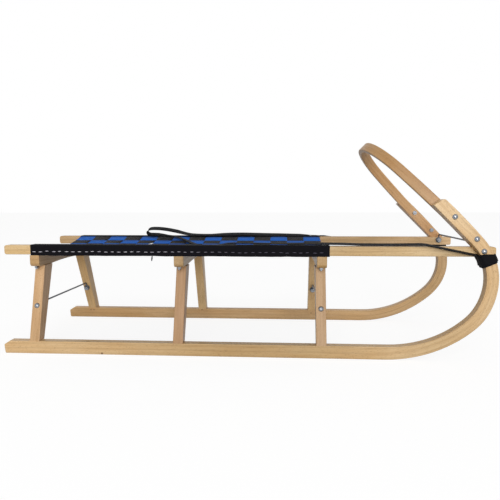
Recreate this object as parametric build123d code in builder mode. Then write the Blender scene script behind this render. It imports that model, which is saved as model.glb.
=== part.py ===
from build123d import *
import os
from math import acos, asin, atan, cos, degrees, pi, radians, sin, tan

os.makedirs("parts", exist_ok=True)

# A three-trestle wooden sled in millimetres: X forward, Y left, Z up, floor at zero.
# The origin lies on the floor, midway along the seat rails and on the centre line.

# Overall sizes
sled_length = 1100
sled_width = 370
rail_top = 244
glue_gap = 0.15
cloth_gap = 0.3
overrun = 10
# An edge counts as lying along an axis within this angle of it
along_axis_angle = 45
along_axis_share = cos(radians(along_axis_angle))
right_angle = 90

# Seat rails, two straight laths
rail_spread = 306
rail_width = 22
rail_height = 21.4
rail_corner = 5
rail_easing = 1.5

# Runners: a straight foot, a long bend, a tight curl and a horn, a little wider than the curl
runner_width = 21
runner_height = 28.5
runner_setback = 7
runner_easing = 1.5
curl_depth = 25.5
horn_length = 119.5
horn_outer_radius = 1200
horn_outer_turn = 5.85
horn_outer_share = 0.9645
horn_corner = 8
nose_setback = 0
bend_radius = 290
bend_angle = 41
curl_radius = 134.5
curl_angle = 94
heel_slope_length = 13
heel_slope_drop = 8.5
heel_lean = 2
heel_corner = 3
toe_in_start = 40
toe_in_end = 165

# Trestles: three yokes, each carried by two splayed legs
yoke_width = 22
yoke_height = 26
yoke_corner = 8
yoke_arch = 3
yoke_easing = 1.5
leg_thickness = 22.5
leg_foot_width = 25
leg_head_width = 39
leg_head_spread = 262
leg_easing = 1
tenon_thickness = 12
foot_tenon_width = 12
foot_tenon_depth = 16
head_tenon_width = 22
head_tenon_depth = 14
# Each row: name, distance of the legs' rear faces from the rails' rear ends, lean of the head to the rear,
# distance of the yoke's middle forward of the leg's head
trestle_rows = (
    ("rear", 67.2, 5.7, -2.2),
    ("middle", 396.0, 0.0, -2),
    ("front", 713.8, 0.0, 1.7),
)

# Bow of bent wood between the horns
bow_thickness = 11
bow_strip = 23.5
bow_drop = 2.6
bow_angle = 45.2
bow_reach = 303
bow_first_radius = 120
bow_first_turn = 9
bow_side_radius = 790
bow_top_radius = 128
bow_easing = 2

# Round-headed bolts
bolt_diameter = 6
bolt_clearance = 0.2
bolt_head_diameter = 12
bolt_head_height = 4.5
bolt_head_rim = 1
nut_across_flats = 10
nut_height = 4.5
bolt_tail = 2
# Each row: name, height above the rails, distance out from the horn's inner edge
horn_bolt_rows = (
    ("upper", 66, 14.4),
    ("lower", 18.9, 14.5),
)
rail_end_bolt_setback = 34
rail_end_bolt_drop = 7.5
leg_bolt_height = 105.3

# Rail bolts through the yokes
rail_bolt_diameter = 5
rail_bolt_head_diameter = 10
rail_bolt_head_height = 2.5
rail_bolt_setback = 1
rail_bolt_tail = 3
rail_nut_across_flats = 8
rail_nut_height = 4

# Tie rods of steel wire, with an eye at each end
wire_diameter = 4
eye_radius = 5.7
eye_rise = 15
wire_corner = 6
wire_gap = 0.2
washer_thickness = 1.2
washer_diameter = 12

# Webbing seat: a sleeve round each rail and a sagging woven panel sewn between them, reaching past the
# rear faces of the rear and front legs
seat_reach_behind = 4.2
seat_reach_ahead = 29.2
sleeve_thickness = 1.2
sleeve_corner = 2
panel_thickness = 2
panel_sag = 18.5

# Pull strap, wrapped round both horns
wrap_thickness = 2.4
wrap_back = 75
wrap_front = 140
wrap_lower_back_z = 191.4
wrap_lower_front_z = 218.5
wrap_upper_back_z = 221.6
wrap_upper_front_z = 231.7
strap_diameter = 5
strap_radius_share = 0.45

# Places that follow from those sizes
rear_x = -sled_length / 2
rail_out = rail_spread / 2
rail_in = rail_out - rail_width
rail_mid = rail_out - rail_width / 2
rail_bottom = rail_top - rail_height
yoke_top = rail_bottom - sleeve_thickness - 2 * cloth_gap
yoke_bottom = yoke_top - yoke_height
yoke_dip = yoke_top - yoke_arch
yoke_under = yoke_bottom + yoke_arch
horn_out = rail_out + runner_width
leg_top_out = leg_head_spread / 2
leg_top_in = leg_top_out - leg_head_width
foot_out = sled_width / 2
foot_in = foot_out - leg_foot_width
leg_rise = yoke_bottom - runner_height
leg_splay = degrees(atan((foot_out - leg_top_out) / leg_rise))
leg_cosine = cos(radians(leg_splay))
leg_sine = sin(radians(leg_splay))

# Side view of a runner
curl_x = sled_length / 2 - nose_setback - curl_radius
bend_x = curl_x - (bend_radius - curl_radius) * sin(radians(bend_angle))
heel_x = rear_x + runner_setback
curl_z = bend_radius - (bend_radius - curl_radius) * cos(radians(bend_angle))
inner_curl_radius = curl_radius - curl_depth
inner_rise = bend_radius - runner_height - (bend_radius - curl_depth) * cos(radians(bend_angle))
inner_bend_radius = inner_rise / (1 - cos(radians(bend_angle)))
inner_run = (bend_radius - curl_depth - inner_bend_radius) * sin(radians(bend_angle))
inner_bend_x = bend_x + inner_run

with BuildSketch(Plane.XZ) as runner_side:
    with BuildLine():
        sole = Line((heel_x + heel_lean, 0), (bend_x, 0))
        bend = JernArc(sole @ 1, (1, 0), bend_radius, bend_angle)
        curl = JernArc(bend @ 1, bend % 1, curl_radius, curl_angle * horn_outer_share)
        horn = JernArc(curl @ 1, curl % 1, horn_outer_radius, horn_outer_turn)
        top = Line((heel_x + heel_slope_length, runner_height), (inner_bend_x, runner_height))
        inner_bend = JernArc(top @ 1, (1, 0), inner_bend_radius, bend_angle)
        inner_curl = JernArc(inner_bend @ 1, inner_bend % 1, inner_curl_radius, curl_angle)
        inner_horn = Line(inner_curl @ 1, inner_curl @ 1 + (inner_curl % 1) * horn_length)
        Line(horn @ 1, inner_horn @ 1)
        Polyline(top @ 0, (heel_x, runner_height - heel_slope_drop), sole @ 0)
    make_face()
    fillet(runner_side.vertices().group_by(Axis.X)[0], heel_corner)
    fillet(runner_side.vertices().sort_by_distance(horn @ 1)[0], horn_corner)
    fillet(runner_side.vertices().sort_by_distance(sole @ 0)[0], heel_corner)

# Front view of the left runner, drawn in by its toe-in
toe_in = foot_out - horn_out
toe_in_rise = toe_in_end - toe_in_start
toe_in_radius = (toe_in_rise**2 + toe_in**2) / (4 * toe_in)
toe_in_turn = degrees(asin(toe_in_rise / 2 / toe_in_radius))
horn_tip_z = curl_z + curl_radius + horn_length

# End of the inner curl, and the directions up the horn and out from its inner edge
horn_angle = radians(bend_angle + curl_angle)
horn_foot = Vector(curl_x + inner_curl_radius * sin(horn_angle), curl_z - inner_curl_radius * cos(horn_angle))
horn_up = Vector(cos(horn_angle), sin(horn_angle))
horn_outward = Vector(sin(horn_angle), -cos(horn_angle))

# Places along the sled that several pieces share
leg_places = [rear_x + distance + leg_thickness / 2 for name, distance, lean, shift in trestle_rows]
head_places = [place - lean for place, (name, distance, lean, shift) in zip(leg_places, trestle_rows)]
yoke_places = [place + shift for place, (name, distance, lean, shift) in zip(head_places, trestle_rows)]
rail_bolt_places = [place - rail_bolt_setback for place in yoke_places]
rail_bolt_spots = [(place, side * rail_mid) for place in rail_bolt_places for side in (1, -1)]
horn_bolt_places = []
for name, height, out in horn_bolt_rows:
    below = horn_foot + horn_outward * out
    place = below + horn_up * ((rail_top + height - below.Y) / horn_up.Y)
    horn_bolt_places.append((place.X, place.Y))
nose_x = sled_length / 2 - rail_end_bolt_setback
rail_end_bolt_z = rail_top - rail_end_bolt_drop
foot_tenon_y = foot_out - runner_width / 2
head_tenon_y = (leg_top_out + leg_top_in) / 2
bolt_hole = bolt_diameter / 2 + bolt_clearance
rail_bolt_hole = rail_bolt_diameter / 2 + bolt_clearance
leg_bolt_share = (leg_bolt_height - runner_height) / leg_rise
tie_rod_places = (leg_places[0] - trestle_rows[0][2] * leg_bolt_share, leg_places[2])

# Where a leg bolt comes out of the leg, square to the leg's outer face
leg_bolt_y = foot_out - (foot_out - leg_top_out) * leg_bolt_share
inner_slope = (foot_in - leg_top_in) / leg_rise
leg_inside_y = foot_in - (foot_in - leg_top_in) * leg_bolt_share
leg_bolt_grip = (leg_bolt_y - leg_inside_y) / (leg_cosine + leg_sine * inner_slope)
leg_bolt_grip += washer_diameter / 2 * (inner_slope - tan(radians(leg_splay)))

# Runners
for side_name, side in (("left", 1), ("right", -1)):
    with BuildPart() as runner:
        with BuildSketch(Plane.YZ) as runner_front:
            with BuildLine():
                low_out = Line((side * foot_out, -overrun), (side * foot_out, toe_in_start))
                first_out = JernArc(low_out @ 1, (0, 1), toe_in_radius, side * toe_in_turn)
                second_out = JernArc(first_out @ 1, first_out % 1, toe_in_radius, -side * toe_in_turn)
                high_out = Line(second_out @ 1, (side * horn_out, horn_tip_z))
                foot_inside = side * (foot_out - runner_width)
                low_in = Line((foot_inside, -overrun), (foot_inside, toe_in_start))
                first_in = JernArc(low_in @ 1, (0, 1), toe_in_radius, side * toe_in_turn)
                second_in = JernArc(first_in @ 1, first_in % 1, toe_in_radius, -side * toe_in_turn)
                high_in = Line(second_in @ 1, (side * rail_out, horn_tip_z))
                Line(high_out @ 1, high_in @ 1)
                Line(low_out @ 0, low_in @ 0)
            make_face()
        extrude(amount=sled_length, both=True)
        extrude(runner_side.sketch, amount=sled_width, both=True, mode=Mode.INTERSECT)
        long_edges = runner.edges().filter_by(lambda edge: abs((edge % 0.5).Y) < along_axis_share)
        fillet(long_edges, runner_easing)
        with BuildSketch(Plane.XY.offset(runner_height)):
            with Locations([(place, side * foot_tenon_y) for place in leg_places]):
                Rectangle(tenon_thickness + 2 * glue_gap, foot_tenon_width + 2 * glue_gap)
        extrude(amount=-foot_tenon_depth - glue_gap, mode=Mode.SUBTRACT)
        with BuildSketch(Plane.XZ.offset(-side * rail_out)):
            with Locations(horn_bolt_places + [(nose_x, rail_end_bolt_z)]):
                Circle(bolt_hole)
        extrude(amount=-side * (runner_width + overrun), mode=Mode.SUBTRACT)
    runner.part.label = "runner_" + side_name
    export_step(runner.part, "parts/runner_" + side_name + ".step")

# Seat rails
for side_name, side in (("left", 1), ("right", -1)):
    with BuildPart() as rail:
        with BuildSketch(Plane.XZ.offset(-side * rail_in)):
            with Locations((0, rail_top - rail_height / 2)):
                RectangleRounded(sled_length, rail_height, rail_corner)
        extrude(amount=-side * rail_width)
        fillet(rail.faces().filter_by(Axis.Y).edges(), rail_easing)
        with BuildSketch(Plane.XY.offset(rail_bottom)):
            with Locations([(place, side * rail_mid) for place in rail_bolt_places]):
                Circle(rail_bolt_hole)
        extrude(amount=rail_height, mode=Mode.SUBTRACT)
        with BuildSketch(Plane.XY.offset(rail_top)):
            with Locations([(place, side * rail_mid) for place in rail_bolt_places]):
                Circle(rail_bolt_head_diameter / 2 + bolt_clearance)
        extrude(amount=-rail_bolt_head_height - bolt_clearance, mode=Mode.SUBTRACT)
        with BuildSketch(Plane.XZ.offset(-side * rail_in)):
            with Locations((nose_x, rail_end_bolt_z)):
                Circle(bolt_hole)
        extrude(amount=-side * rail_width, mode=Mode.SUBTRACT)
    rail.part.label = "rail_" + side_name
    export_step(rail.part, "parts/rail_" + side_name + ".step")

# Yokes, arched between the legs and rounded under their ends
for row, place, head_place, bolt_place in zip(trestle_rows, yoke_places, head_places, rail_bolt_places):
    name = row[0]
    with BuildPart() as yoke:
        with BuildSketch(Plane.YZ.offset(place - yoke_width / 2)):
            with BuildLine():
                Line((-leg_top_in, yoke_bottom), (-rail_out, yoke_bottom))
                Line((-rail_out, yoke_bottom), (-rail_out, yoke_top))
                Line((-rail_out, yoke_top), (-leg_top_in, yoke_top))
                ThreePointArc((-leg_top_in, yoke_top), (0, yoke_dip), (leg_top_in, yoke_top))
                Line((leg_top_in, yoke_top), (rail_out, yoke_top))
                Line((rail_out, yoke_top), (rail_out, yoke_bottom))
                Line((rail_out, yoke_bottom), (leg_top_in, yoke_bottom))
                ThreePointArc((leg_top_in, yoke_bottom), (0, yoke_under), (-leg_top_in, yoke_bottom))
            make_face()
        extrude(amount=yoke_width)
        low_edges = yoke.edges().filter_by(Axis.X).group_by(Axis.Z)[0].sort_by(Axis.Y)
        fillet([low_edges[0], low_edges[-1]], yoke_corner)
        fillet(yoke.faces().filter_by(Axis.X).edges(), yoke_easing)
        with BuildSketch(Plane.XY.offset(yoke_bottom)):
            with Locations([(head_place, side * head_tenon_y) for side in (1, -1)]):
                Rectangle(tenon_thickness + 2 * glue_gap, head_tenon_width + 2 * glue_gap)
        extrude(amount=head_tenon_depth + glue_gap, mode=Mode.SUBTRACT)
        with BuildSketch(Plane.XY.offset(yoke_bottom)):
            with Locations([(bolt_place, side * rail_mid) for side in (1, -1)]):
                Circle(rail_bolt_hole)
        extrude(amount=yoke_height, mode=Mode.SUBTRACT)
    yoke.part.label = "yoke_" + name
    export_step(yoke.part, "parts/yoke_" + name + ".step")

# Legs, splayed and tapered, with a tenon at each end
for (name, distance, lean, shift), place in zip(trestle_rows, leg_places):
    for side_name, side in (("left", 1), ("right", -1)):
        with BuildPart() as leg:
            with BuildSketch(Plane.YZ.offset(place)):
                with BuildLine():
                    foot = Line((side * foot_in, runner_height), (side * foot_out, runner_height))
                    outside = Line(foot @ 1, (side * leg_top_out, yoke_bottom))
                    head = Line(outside @ 1, (side * leg_top_in, yoke_bottom))
                    Line(head @ 1, foot @ 0)
                make_face()
            extrude(amount=sled_length, both=True)
            with BuildSketch(Plane.XZ):
                Polygon(
                    (place - leg_thickness / 2, runner_height),
                    (place + leg_thickness / 2, runner_height),
                    (place - lean + leg_thickness / 2, yoke_bottom),
                    (place - lean - leg_thickness / 2, yoke_bottom),
                    align=None,
                )
            extrude(amount=sled_width, both=True, mode=Mode.INTERSECT)
            long_edges = leg.edges().filter_by(lambda edge: abs((edge % 0.5).Z) > along_axis_share)
            fillet(long_edges, leg_easing)
            with BuildSketch(Plane.XY.offset(runner_height)):
                with Locations((place, side * foot_tenon_y)):
                    Rectangle(tenon_thickness, foot_tenon_width)
            extrude(amount=-foot_tenon_depth)
            with BuildSketch(Plane.XY.offset(yoke_bottom)):
                with Locations((place - lean, side * head_tenon_y)):
                    Rectangle(tenon_thickness, head_tenon_width)
            extrude(amount=head_tenon_depth)
            if name != "middle":
                hole_x = place - lean * leg_bolt_share
                hole_plane = Plane(
                    (hole_x, side * leg_bolt_y, leg_bolt_height),
                    x_dir=(1, 0, 0),
                    z_dir=(0, side * leg_cosine, leg_sine),
                )
                with BuildSketch(hole_plane):
                    Circle(bolt_hole)
                extrude(amount=leg_head_width, both=True, mode=Mode.SUBTRACT)
        leg.part.label = "leg_" + name + "_" + side_name
        export_step(leg.part, "parts/leg_" + name + "_" + side_name + ".step")

# Bow: a flat strip bent to a U, lying in a plane that leans back between the horns
bow_low_x, bow_low_z = horn_bolt_places[1]
bow_normal = (sin(radians(bow_angle)), 0, cos(radians(bow_angle)))
bow_plane = Plane((bow_low_x, 0, bow_low_z), x_dir=(0, 1, 0), z_dir=bow_normal)
bow_foot = (bow_low_z - rail_top) / sin(radians(bow_angle)) + bow_strip
bow_inside = rail_out - bow_thickness

# Each half of the bow turns from the horn to the middle in three tangent arcs, given as radius and turn
bow_in = rail_out - bow_first_radius * (1 - cos(radians(bow_first_turn)))
bow_side_in = bow_in - bow_side_radius * cos(radians(bow_first_turn))
bow_side_end = degrees(acos(bow_side_in / (bow_top_radius - bow_side_radius)))
bow_arcs = (
    (bow_first_radius, bow_first_turn),
    (bow_side_radius, bow_side_end - bow_first_turn),
    (bow_top_radius, right_angle - bow_side_end),
)
bow_first_rise = (bow_first_radius - bow_side_radius) * sin(radians(bow_first_turn))
bow_side_rise = (bow_side_radius - bow_top_radius) * sin(radians(bow_side_end))
bow_straight = bow_reach - bow_first_rise - bow_side_rise - bow_top_radius
with BuildPart() as bow:
    with BuildSketch(bow_plane.offset(-bow_drop)):
        with BuildLine():
            outer = [Line((rail_out, -bow_foot), (rail_out, bow_straight))]
            inner = [Line((bow_inside, -bow_foot), (bow_inside, bow_straight))]
            for radius, turn in bow_arcs + bow_arcs[::-1]:
                outer.append(JernArc(outer[-1] @ 1, outer[-1] % 1, radius, turn))
                inner.append(JernArc(inner[-1] @ 1, inner[-1] % 1, radius - bow_thickness, turn))
            Line(outer[-1] @ 1, (-rail_out, -bow_foot))
            Line((-rail_out, -bow_foot), (-bow_inside, -bow_foot))
            Line((-bow_inside, -bow_foot), inner[-1] @ 1)
            Line(inner[0] @ 0, outer[0] @ 0)
        make_face()
    extrude(amount=bow_strip / 2, both=True)
    fillet(bow.faces().filter_by(bow_plane).edges(), bow_easing)
    split(bisect_by=Plane.XY.offset(rail_top), keep=Keep.TOP)
    with BuildSketch(Plane.XZ.offset(-sled_width)):
        with Locations(horn_bolt_places):
            Circle(bolt_hole)
    extrude(amount=2 * sled_width, mode=Mode.SUBTRACT)
bow.part.label = "bow"
export_step(bow.part, "parts/bow.step")

# Round-headed bolts
# Each row: node, side, place of the head's seat, outward direction, wood held, eye or no eye
bolt_rows = []
for side in (1, -1):
    outward = Vector(0, side, 0)
    for bolt_x, bolt_z in horn_bolt_places:
        horn_seat = Vector(bolt_x, side * horn_out, bolt_z)
        bolt_rows.append(("horn_bolts", side, horn_seat, outward, horn_out - bow_inside, False))
    nose_seat = Vector(nose_x, side * horn_out, rail_end_bolt_z)
    bolt_rows.append(("rail_end_bolts", side, nose_seat, outward, horn_out - rail_in, True))
    outward = Vector(0, side * leg_cosine, leg_sine)
    for rod_x in tie_rod_places:
        leg_seat = Vector(rod_x, side * leg_bolt_y, leg_bolt_height)
        bolt_rows.append(("leg_bolts", side, leg_seat, outward, leg_bolt_grip, True))
dome_rise = bolt_head_height - bolt_head_rim
dome_radius = ((bolt_head_diameter / 2) ** 2 + dome_rise**2) / (2 * dome_rise)
dome_turn = degrees(asin(bolt_head_diameter / 2 / dome_radius))
eye_stack = washer_thickness + wire_diameter + 2 * wire_gap
for bolt_set in ("horn_bolts", "rail_end_bolts", "leg_bolts"):
    with BuildPart() as bolts:
        for node, side, seat, outward, grip, has_eye in bolt_rows:
            if node == bolt_set:
                across = Vector(1, 0, 0)
                nut_face = grip + (eye_stack if has_eye else 0)
                bolt_end = nut_face + nut_height + bolt_tail
                with BuildSketch(Plane(seat, x_dir=across, z_dir=across.cross(outward))):
                    with BuildLine():
                        dome = JernArc((0, bolt_head_height), (1, 0), dome_radius, -dome_turn)
                        Polyline(
                            dome @ 1,
                            (bolt_head_diameter / 2, 0),
                            (bolt_diameter / 2, 0),
                            (bolt_diameter / 2, -bolt_end),
                            (0, -bolt_end),
                            dome @ 0,
                        )
                    make_face()
                revolve(axis=Axis(seat, outward))
                with BuildSketch(Plane(seat - outward * nut_face, x_dir=across, z_dir=outward)):
                    RegularPolygon(nut_across_flats / 2, 6, major_radius=False)
                extrude(amount=-nut_height)
                if has_eye:
                    with BuildSketch(Plane(seat - outward * grip, x_dir=across, z_dir=outward)):
                        Circle(washer_diameter / 2)
                    extrude(amount=-washer_thickness)
    bolts.part.label = bolt_set
    export_step(bolts.part, "parts/" + bolt_set + ".step")

# Rail bolts, sunk in the rails and nutted under the yokes
with BuildPart() as rail_bolts:
    with BuildSketch(Plane.XY.offset(rail_top - bolt_clearance)):
        with Locations(rail_bolt_spots):
            Circle(rail_bolt_head_diameter / 2)
    extrude(amount=-rail_bolt_head_height)
    with BuildSketch(Plane.XY.offset(rail_top - bolt_clearance)):
        with Locations(rail_bolt_spots):
            Circle(rail_bolt_diameter / 2)
    extrude(amount=yoke_bottom - rail_nut_height - rail_bolt_tail - rail_top + bolt_clearance)
    with BuildSketch(Plane.XY.offset(yoke_bottom)):
        with Locations(rail_bolt_spots):
            RegularPolygon(rail_nut_across_flats / 2, 6, major_radius=False)
    extrude(amount=-rail_nut_height)
rail_bolts.part.label = "rail_bolts"
export_step(rail_bolts.part, "parts/rail_bolts.step")

# Tie rods: a round wire whose ends turn down to an eye on each bolt
for rod_name, held_by, rod_x in (
    ("tie_rod_rear", "leg_bolts", tie_rod_places[0]),
    ("tie_rod_front", "leg_bolts", tie_rod_places[1]),
    ("tie_rod_nose", "rail_end_bolts", nose_x),
):
    ends = [row for row in bolt_rows if row[0] == held_by and abs(row[2].X - rod_x) < bolt_diameter]
    with BuildPart() as tie_rod:
        rises = []
        for node, side, seat, outward, grip, has_eye in ends:
            eye = seat - outward * (grip + washer_thickness + wire_gap + wire_diameter / 2)
            upward = outward.cross(Vector(-side, 0, 0))
            with Locations(Plane(eye, x_dir=(1, 0, 0), z_dir=outward)):
                Torus(eye_radius, wire_diameter / 2)
            rises.append((eye + upward * eye_radius, eye + upward * eye_rise))
        with BuildLine() as route:
            FilletPolyline(rises[0][0], rises[0][1], rises[1][1], rises[1][0], radius=wire_corner)
        with BuildSketch(Plane(rises[0][0], z_dir=rises[0][1] - rises[0][0])):
            Circle(wire_diameter / 2)
        sweep(path=route.wire())
    tie_rod.part.label = rod_name
    export_step(tie_rod.part, "parts/" + rod_name + ".step")

# Seat sleeves, webbing sewn round each rail, with holes for the rail bolts
sleeve_grow = 2 * (sleeve_thickness + cloth_gap)
seat_rear = trestle_rows[0][1] - seat_reach_behind
seat_length = trestle_rows[2][1] + seat_reach_ahead - seat_rear
for side_name, side in (("left", 1), ("right", -1)):
    with BuildPart() as sleeve:
        with BuildSketch(Plane.YZ.offset(rear_x + seat_rear)):
            with Locations((side * rail_mid, rail_top - rail_height / 2)):
                RectangleRounded(rail_width + sleeve_grow, rail_height + sleeve_grow, sleeve_corner)
                Rectangle(rail_width + 2 * cloth_gap, rail_height + 2 * cloth_gap, mode=Mode.SUBTRACT)
        extrude(amount=seat_length)
        with BuildSketch(Plane.XY.offset(rail_bottom)):
            with Locations(rail_bolt_spots):
                Circle(rail_bolt_diameter / 2 + cloth_gap)
        extrude(amount=-sleeve_grow, mode=Mode.SUBTRACT)
    sleeve.part.label = "seat_sleeve_" + side_name
    export_step(sleeve.part, "parts/seat_sleeve_" + side_name + ".step")

# Seat panel, sewn along the sleeves' inner sides just under their rounded edges
panel_edge = rail_in - cloth_gap - sleeve_thickness
panel_top = rail_top + cloth_gap + sleeve_thickness - sleeve_corner
panel_middle = panel_top - panel_sag
with BuildPart() as seat_panel:
    with BuildSketch(Plane.YZ.offset(rear_x + seat_rear)):
        with BuildLine():
            ThreePointArc((-panel_edge, panel_top), (0, panel_middle), (panel_edge, panel_top))
            Line((panel_edge, panel_top), (panel_edge, panel_top - panel_thickness))
            ThreePointArc(
                (panel_edge, panel_top - panel_thickness),
                (0, panel_middle - panel_thickness),
                (-panel_edge, panel_top - panel_thickness),
            )
            Line((-panel_edge, panel_top - panel_thickness), (-panel_edge, panel_top))
        make_face()
    extrude(amount=seat_length)
seat_panel.part.label = "seat_panel"
export_step(seat_panel.part, "parts/seat_panel.step")

# Strap wraps, a slanting band of webbing round each horn just under the rail
wrap_back_x = curl_x + wrap_back
wrap_front_x = curl_x + wrap_front
for side_name, side in (("left", 1), ("right", -1)):
    with BuildPart() as strap_wrap:
        with BuildSketch(Plane.XZ.offset(-side * (rail_out - cloth_gap - wrap_thickness))):
            with Locations((curl_x, curl_z)):
                Circle(curl_radius + cloth_gap + wrap_thickness)
                Circle(inner_curl_radius - cloth_gap - wrap_thickness, mode=Mode.SUBTRACT)
        extrude(amount=-side * (runner_width + 2 * (cloth_gap + wrap_thickness)))
        with BuildSketch(Plane.XZ.offset(-side * (rail_out - cloth_gap))):
            with Locations((curl_x, curl_z)):
                Circle(curl_radius + cloth_gap)
                Circle(inner_curl_radius - cloth_gap, mode=Mode.SUBTRACT)
        extrude(amount=-side * (runner_width + 2 * cloth_gap), mode=Mode.SUBTRACT)
        with BuildSketch(Plane.XZ):
            Polygon(
                (wrap_back_x, wrap_lower_back_z),
                (wrap_front_x, wrap_lower_front_z),
                (wrap_front_x, wrap_upper_front_z),
                (wrap_back_x, wrap_upper_back_z),
                align=None,
            )
        extrude(amount=sled_width, both=True, mode=Mode.INTERSECT)
        with BuildSketch(Plane.YZ.offset(rear_x)):
            with Locations((side * (rail_mid + cloth_gap), rail_top - cloth_gap)):
                Rectangle(rail_width, 2 * rail_height)
        extrude(amount=2 * sled_length, mode=Mode.SUBTRACT)
    strap_wrap.part.label = "strap_wrap_" + side_name
    export_step(strap_wrap.part, "parts/strap_wrap_" + side_name + ".step")

# Pull strap, from the right horn's wrap over rail and seat to the left horn's wrap
strap_points = [
    (508.5, -163.5, 219.3),
    (484, -159.5, 224),
    (458, -158, 232.5),
    (432, -158.2, 243.5),
    (405, -152.3, 250),
    (372, -144.5, 248.2),
    (322, -142, 247.4),
    (268, -142.8, 247.5),
    (222, -142.2, 249),
    (165, -142.5, 249.4),
    (105, -141.5, 249),
    (50, -142, 249.1),
    (5, -138, 249.8),
    (-35, -116, 247.5),
    (-68, -80, 238.5),
    (-98, -40, 232),
    (-124, 2, 230.2),
    (-148, 44, 232.2),
    (-176, 82, 238.6),
    (-208, 109, 246.2),
    (-240, 119, 249),
    (-258, 122, 249.3),
    (-274, 124.5, 249.6),
    (-285.5, 127, 249.9),
    (-290.5, 127.6, 254.8),
    (-290.5, 128.2, 260.4),
    (-285.5, 128.8, 265.3),
    (-272, 129.4, 266.8),
    (-246, 130, 265.4),
    (-211, 130.5, 259.4),
    (-178, 131, 251.4),
    (-148, 131.5, 249.3),
    (-112, 132.5, 249.7),
    (-78, 134, 252.8),
    (-46, 135, 255.1),
    (-12, 136, 254.9),
    (22, 137, 252.5),
    (60, 138.5, 250),
    (105, 141, 249.1),
    (150, 146, 249.6),
    (183, 153.5, 250.8),
    (212, 158.5, 244.5),
    (250, 158.4, 240.6),
    (305, 157.8, 237.6),
    (360, 158.5, 234),
    (415, 158, 229.5),
    (462, 159.5, 224.5),
    (490, 162, 219.5),
    (508.5, 163.5, 219.3),
]
strap_corners = [Vector(*point) for point in strap_points]
strap_runs = [after - before for before, after in zip(strap_corners, strap_corners[1:])]
strap_radii = []
for first_run, second_run in zip(strap_runs, strap_runs[1:]):
    half_turn = radians(first_run.get_angle(second_run) / 2)
    strap_radii.append(strap_radius_share * min(first_run.length, second_run.length) / tan(half_turn))
with BuildPart() as pull_strap:
    with BuildLine() as strap_route:
        FilletPolyline(*strap_corners, radius=strap_radii)
    with BuildSketch(Plane(strap_corners[0], z_dir=strap_runs[0])):
        Circle(strap_diameter / 2)
    sweep(path=strap_route.wire())
pull_strap.part.label = "pull_strap"
export_step(pull_strap.part, "parts/pull_strap.step")
strap_length = strap_route.wire().length
strap_section = pi * (strap_diameter / 2) ** 2
print("strap radii", [round(radius, 1) for radius in strap_radii])
strap_run_sum = sum(run.length for run in strap_runs)
print("strap length", round(strap_length, 1), "runs added up", round(strap_run_sum, 1))
print("strap volume", round(pull_strap.part.volume, 1), "against", round(strap_section * strap_length, 1))
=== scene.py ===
from math import atan2, cos, hypot, pi, radians, sin
import bmesh
import bpy
from mathutils import Matrix, Vector, noise


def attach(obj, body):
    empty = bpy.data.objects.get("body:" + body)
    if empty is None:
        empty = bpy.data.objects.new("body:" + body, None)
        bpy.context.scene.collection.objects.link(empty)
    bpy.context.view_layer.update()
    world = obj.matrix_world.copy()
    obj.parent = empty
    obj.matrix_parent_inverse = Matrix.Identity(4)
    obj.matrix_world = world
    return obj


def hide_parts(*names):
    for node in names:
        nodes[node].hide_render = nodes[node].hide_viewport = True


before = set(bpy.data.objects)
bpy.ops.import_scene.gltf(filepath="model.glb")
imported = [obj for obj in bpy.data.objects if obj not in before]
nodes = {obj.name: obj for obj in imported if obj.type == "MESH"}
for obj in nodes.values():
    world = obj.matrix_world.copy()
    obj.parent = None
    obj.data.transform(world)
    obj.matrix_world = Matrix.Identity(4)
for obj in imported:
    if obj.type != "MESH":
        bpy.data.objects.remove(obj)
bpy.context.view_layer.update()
scene = bpy.context.scene
scene.view_settings.view_transform = "Standard"
print("frame loaded")

# Camera: low, level with the seat and in front of the right-hand rail
cameraView = {
    "place": (0.0848, -1.2299, 0.3469),
    "yaw": -0.063,
    "pitch": 0.103,
    "roll": -0.002,
    "lens": 35.07,
    "sensor": 36,
}


def addCamera(values):
    yaw, pitch = values["yaw"], values["pitch"]
    forward = Vector((sin(yaw) * cos(pitch), cos(yaw) * cos(pitch), -sin(pitch)))
    turn = forward.to_track_quat("-Z", "Y").to_matrix() @ Matrix.Rotation(values["roll"], 3, "Z")
    lens = bpy.data.cameras.new("camera")
    lens.lens, lens.sensor_width = values["lens"], values["sensor"]
    camera = bpy.data.objects.new("camera", lens)
    camera.matrix_world = Matrix.LocRotScale(Vector(values["place"]), turn, None)
    scene.collection.objects.link(camera)
    scene.camera = camera


addCamera(cameraView)
print("camera")


def linear(hexCode):
    channels = [int(hexCode[i : i + 2], 16) / 255 for i in (1, 3, 5)]
    return [c / 12.92 if c <= 0.04045 else ((c + 0.055) / 1.055) ** 2.4 for c in channels] + [1.0]


def addNode(tree, kind, inputs=(), **settings):
    node = tree.nodes.new("ShaderNode" + kind)
    for name, value in settings.items():
        setattr(node, name, value)
    for socket, value in dict(inputs).items():
        if isinstance(value, bpy.types.NodeSocket):
            tree.links.new(value, node.inputs[socket])
        else:
            node.inputs[socket].default_value = value
    return node


def newMaterial(name):
    material = bpy.data.materials.new(name)
    material.use_nodes = True
    tree = material.node_tree
    return material, tree, tree.nodes["Principled BSDF"]


def finishPiece(name, bm, material):
    mesh = bpy.data.meshes.new(name)
    bm.to_mesh(mesh)
    bm.free()
    for face in mesh.polygons:
        face.use_smooth = True
    piece = bpy.data.objects.new(name, mesh)
    mesh.materials.append(material)
    scene.collection.objects.link(piece)
    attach(piece, "root")
    return piece


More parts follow.
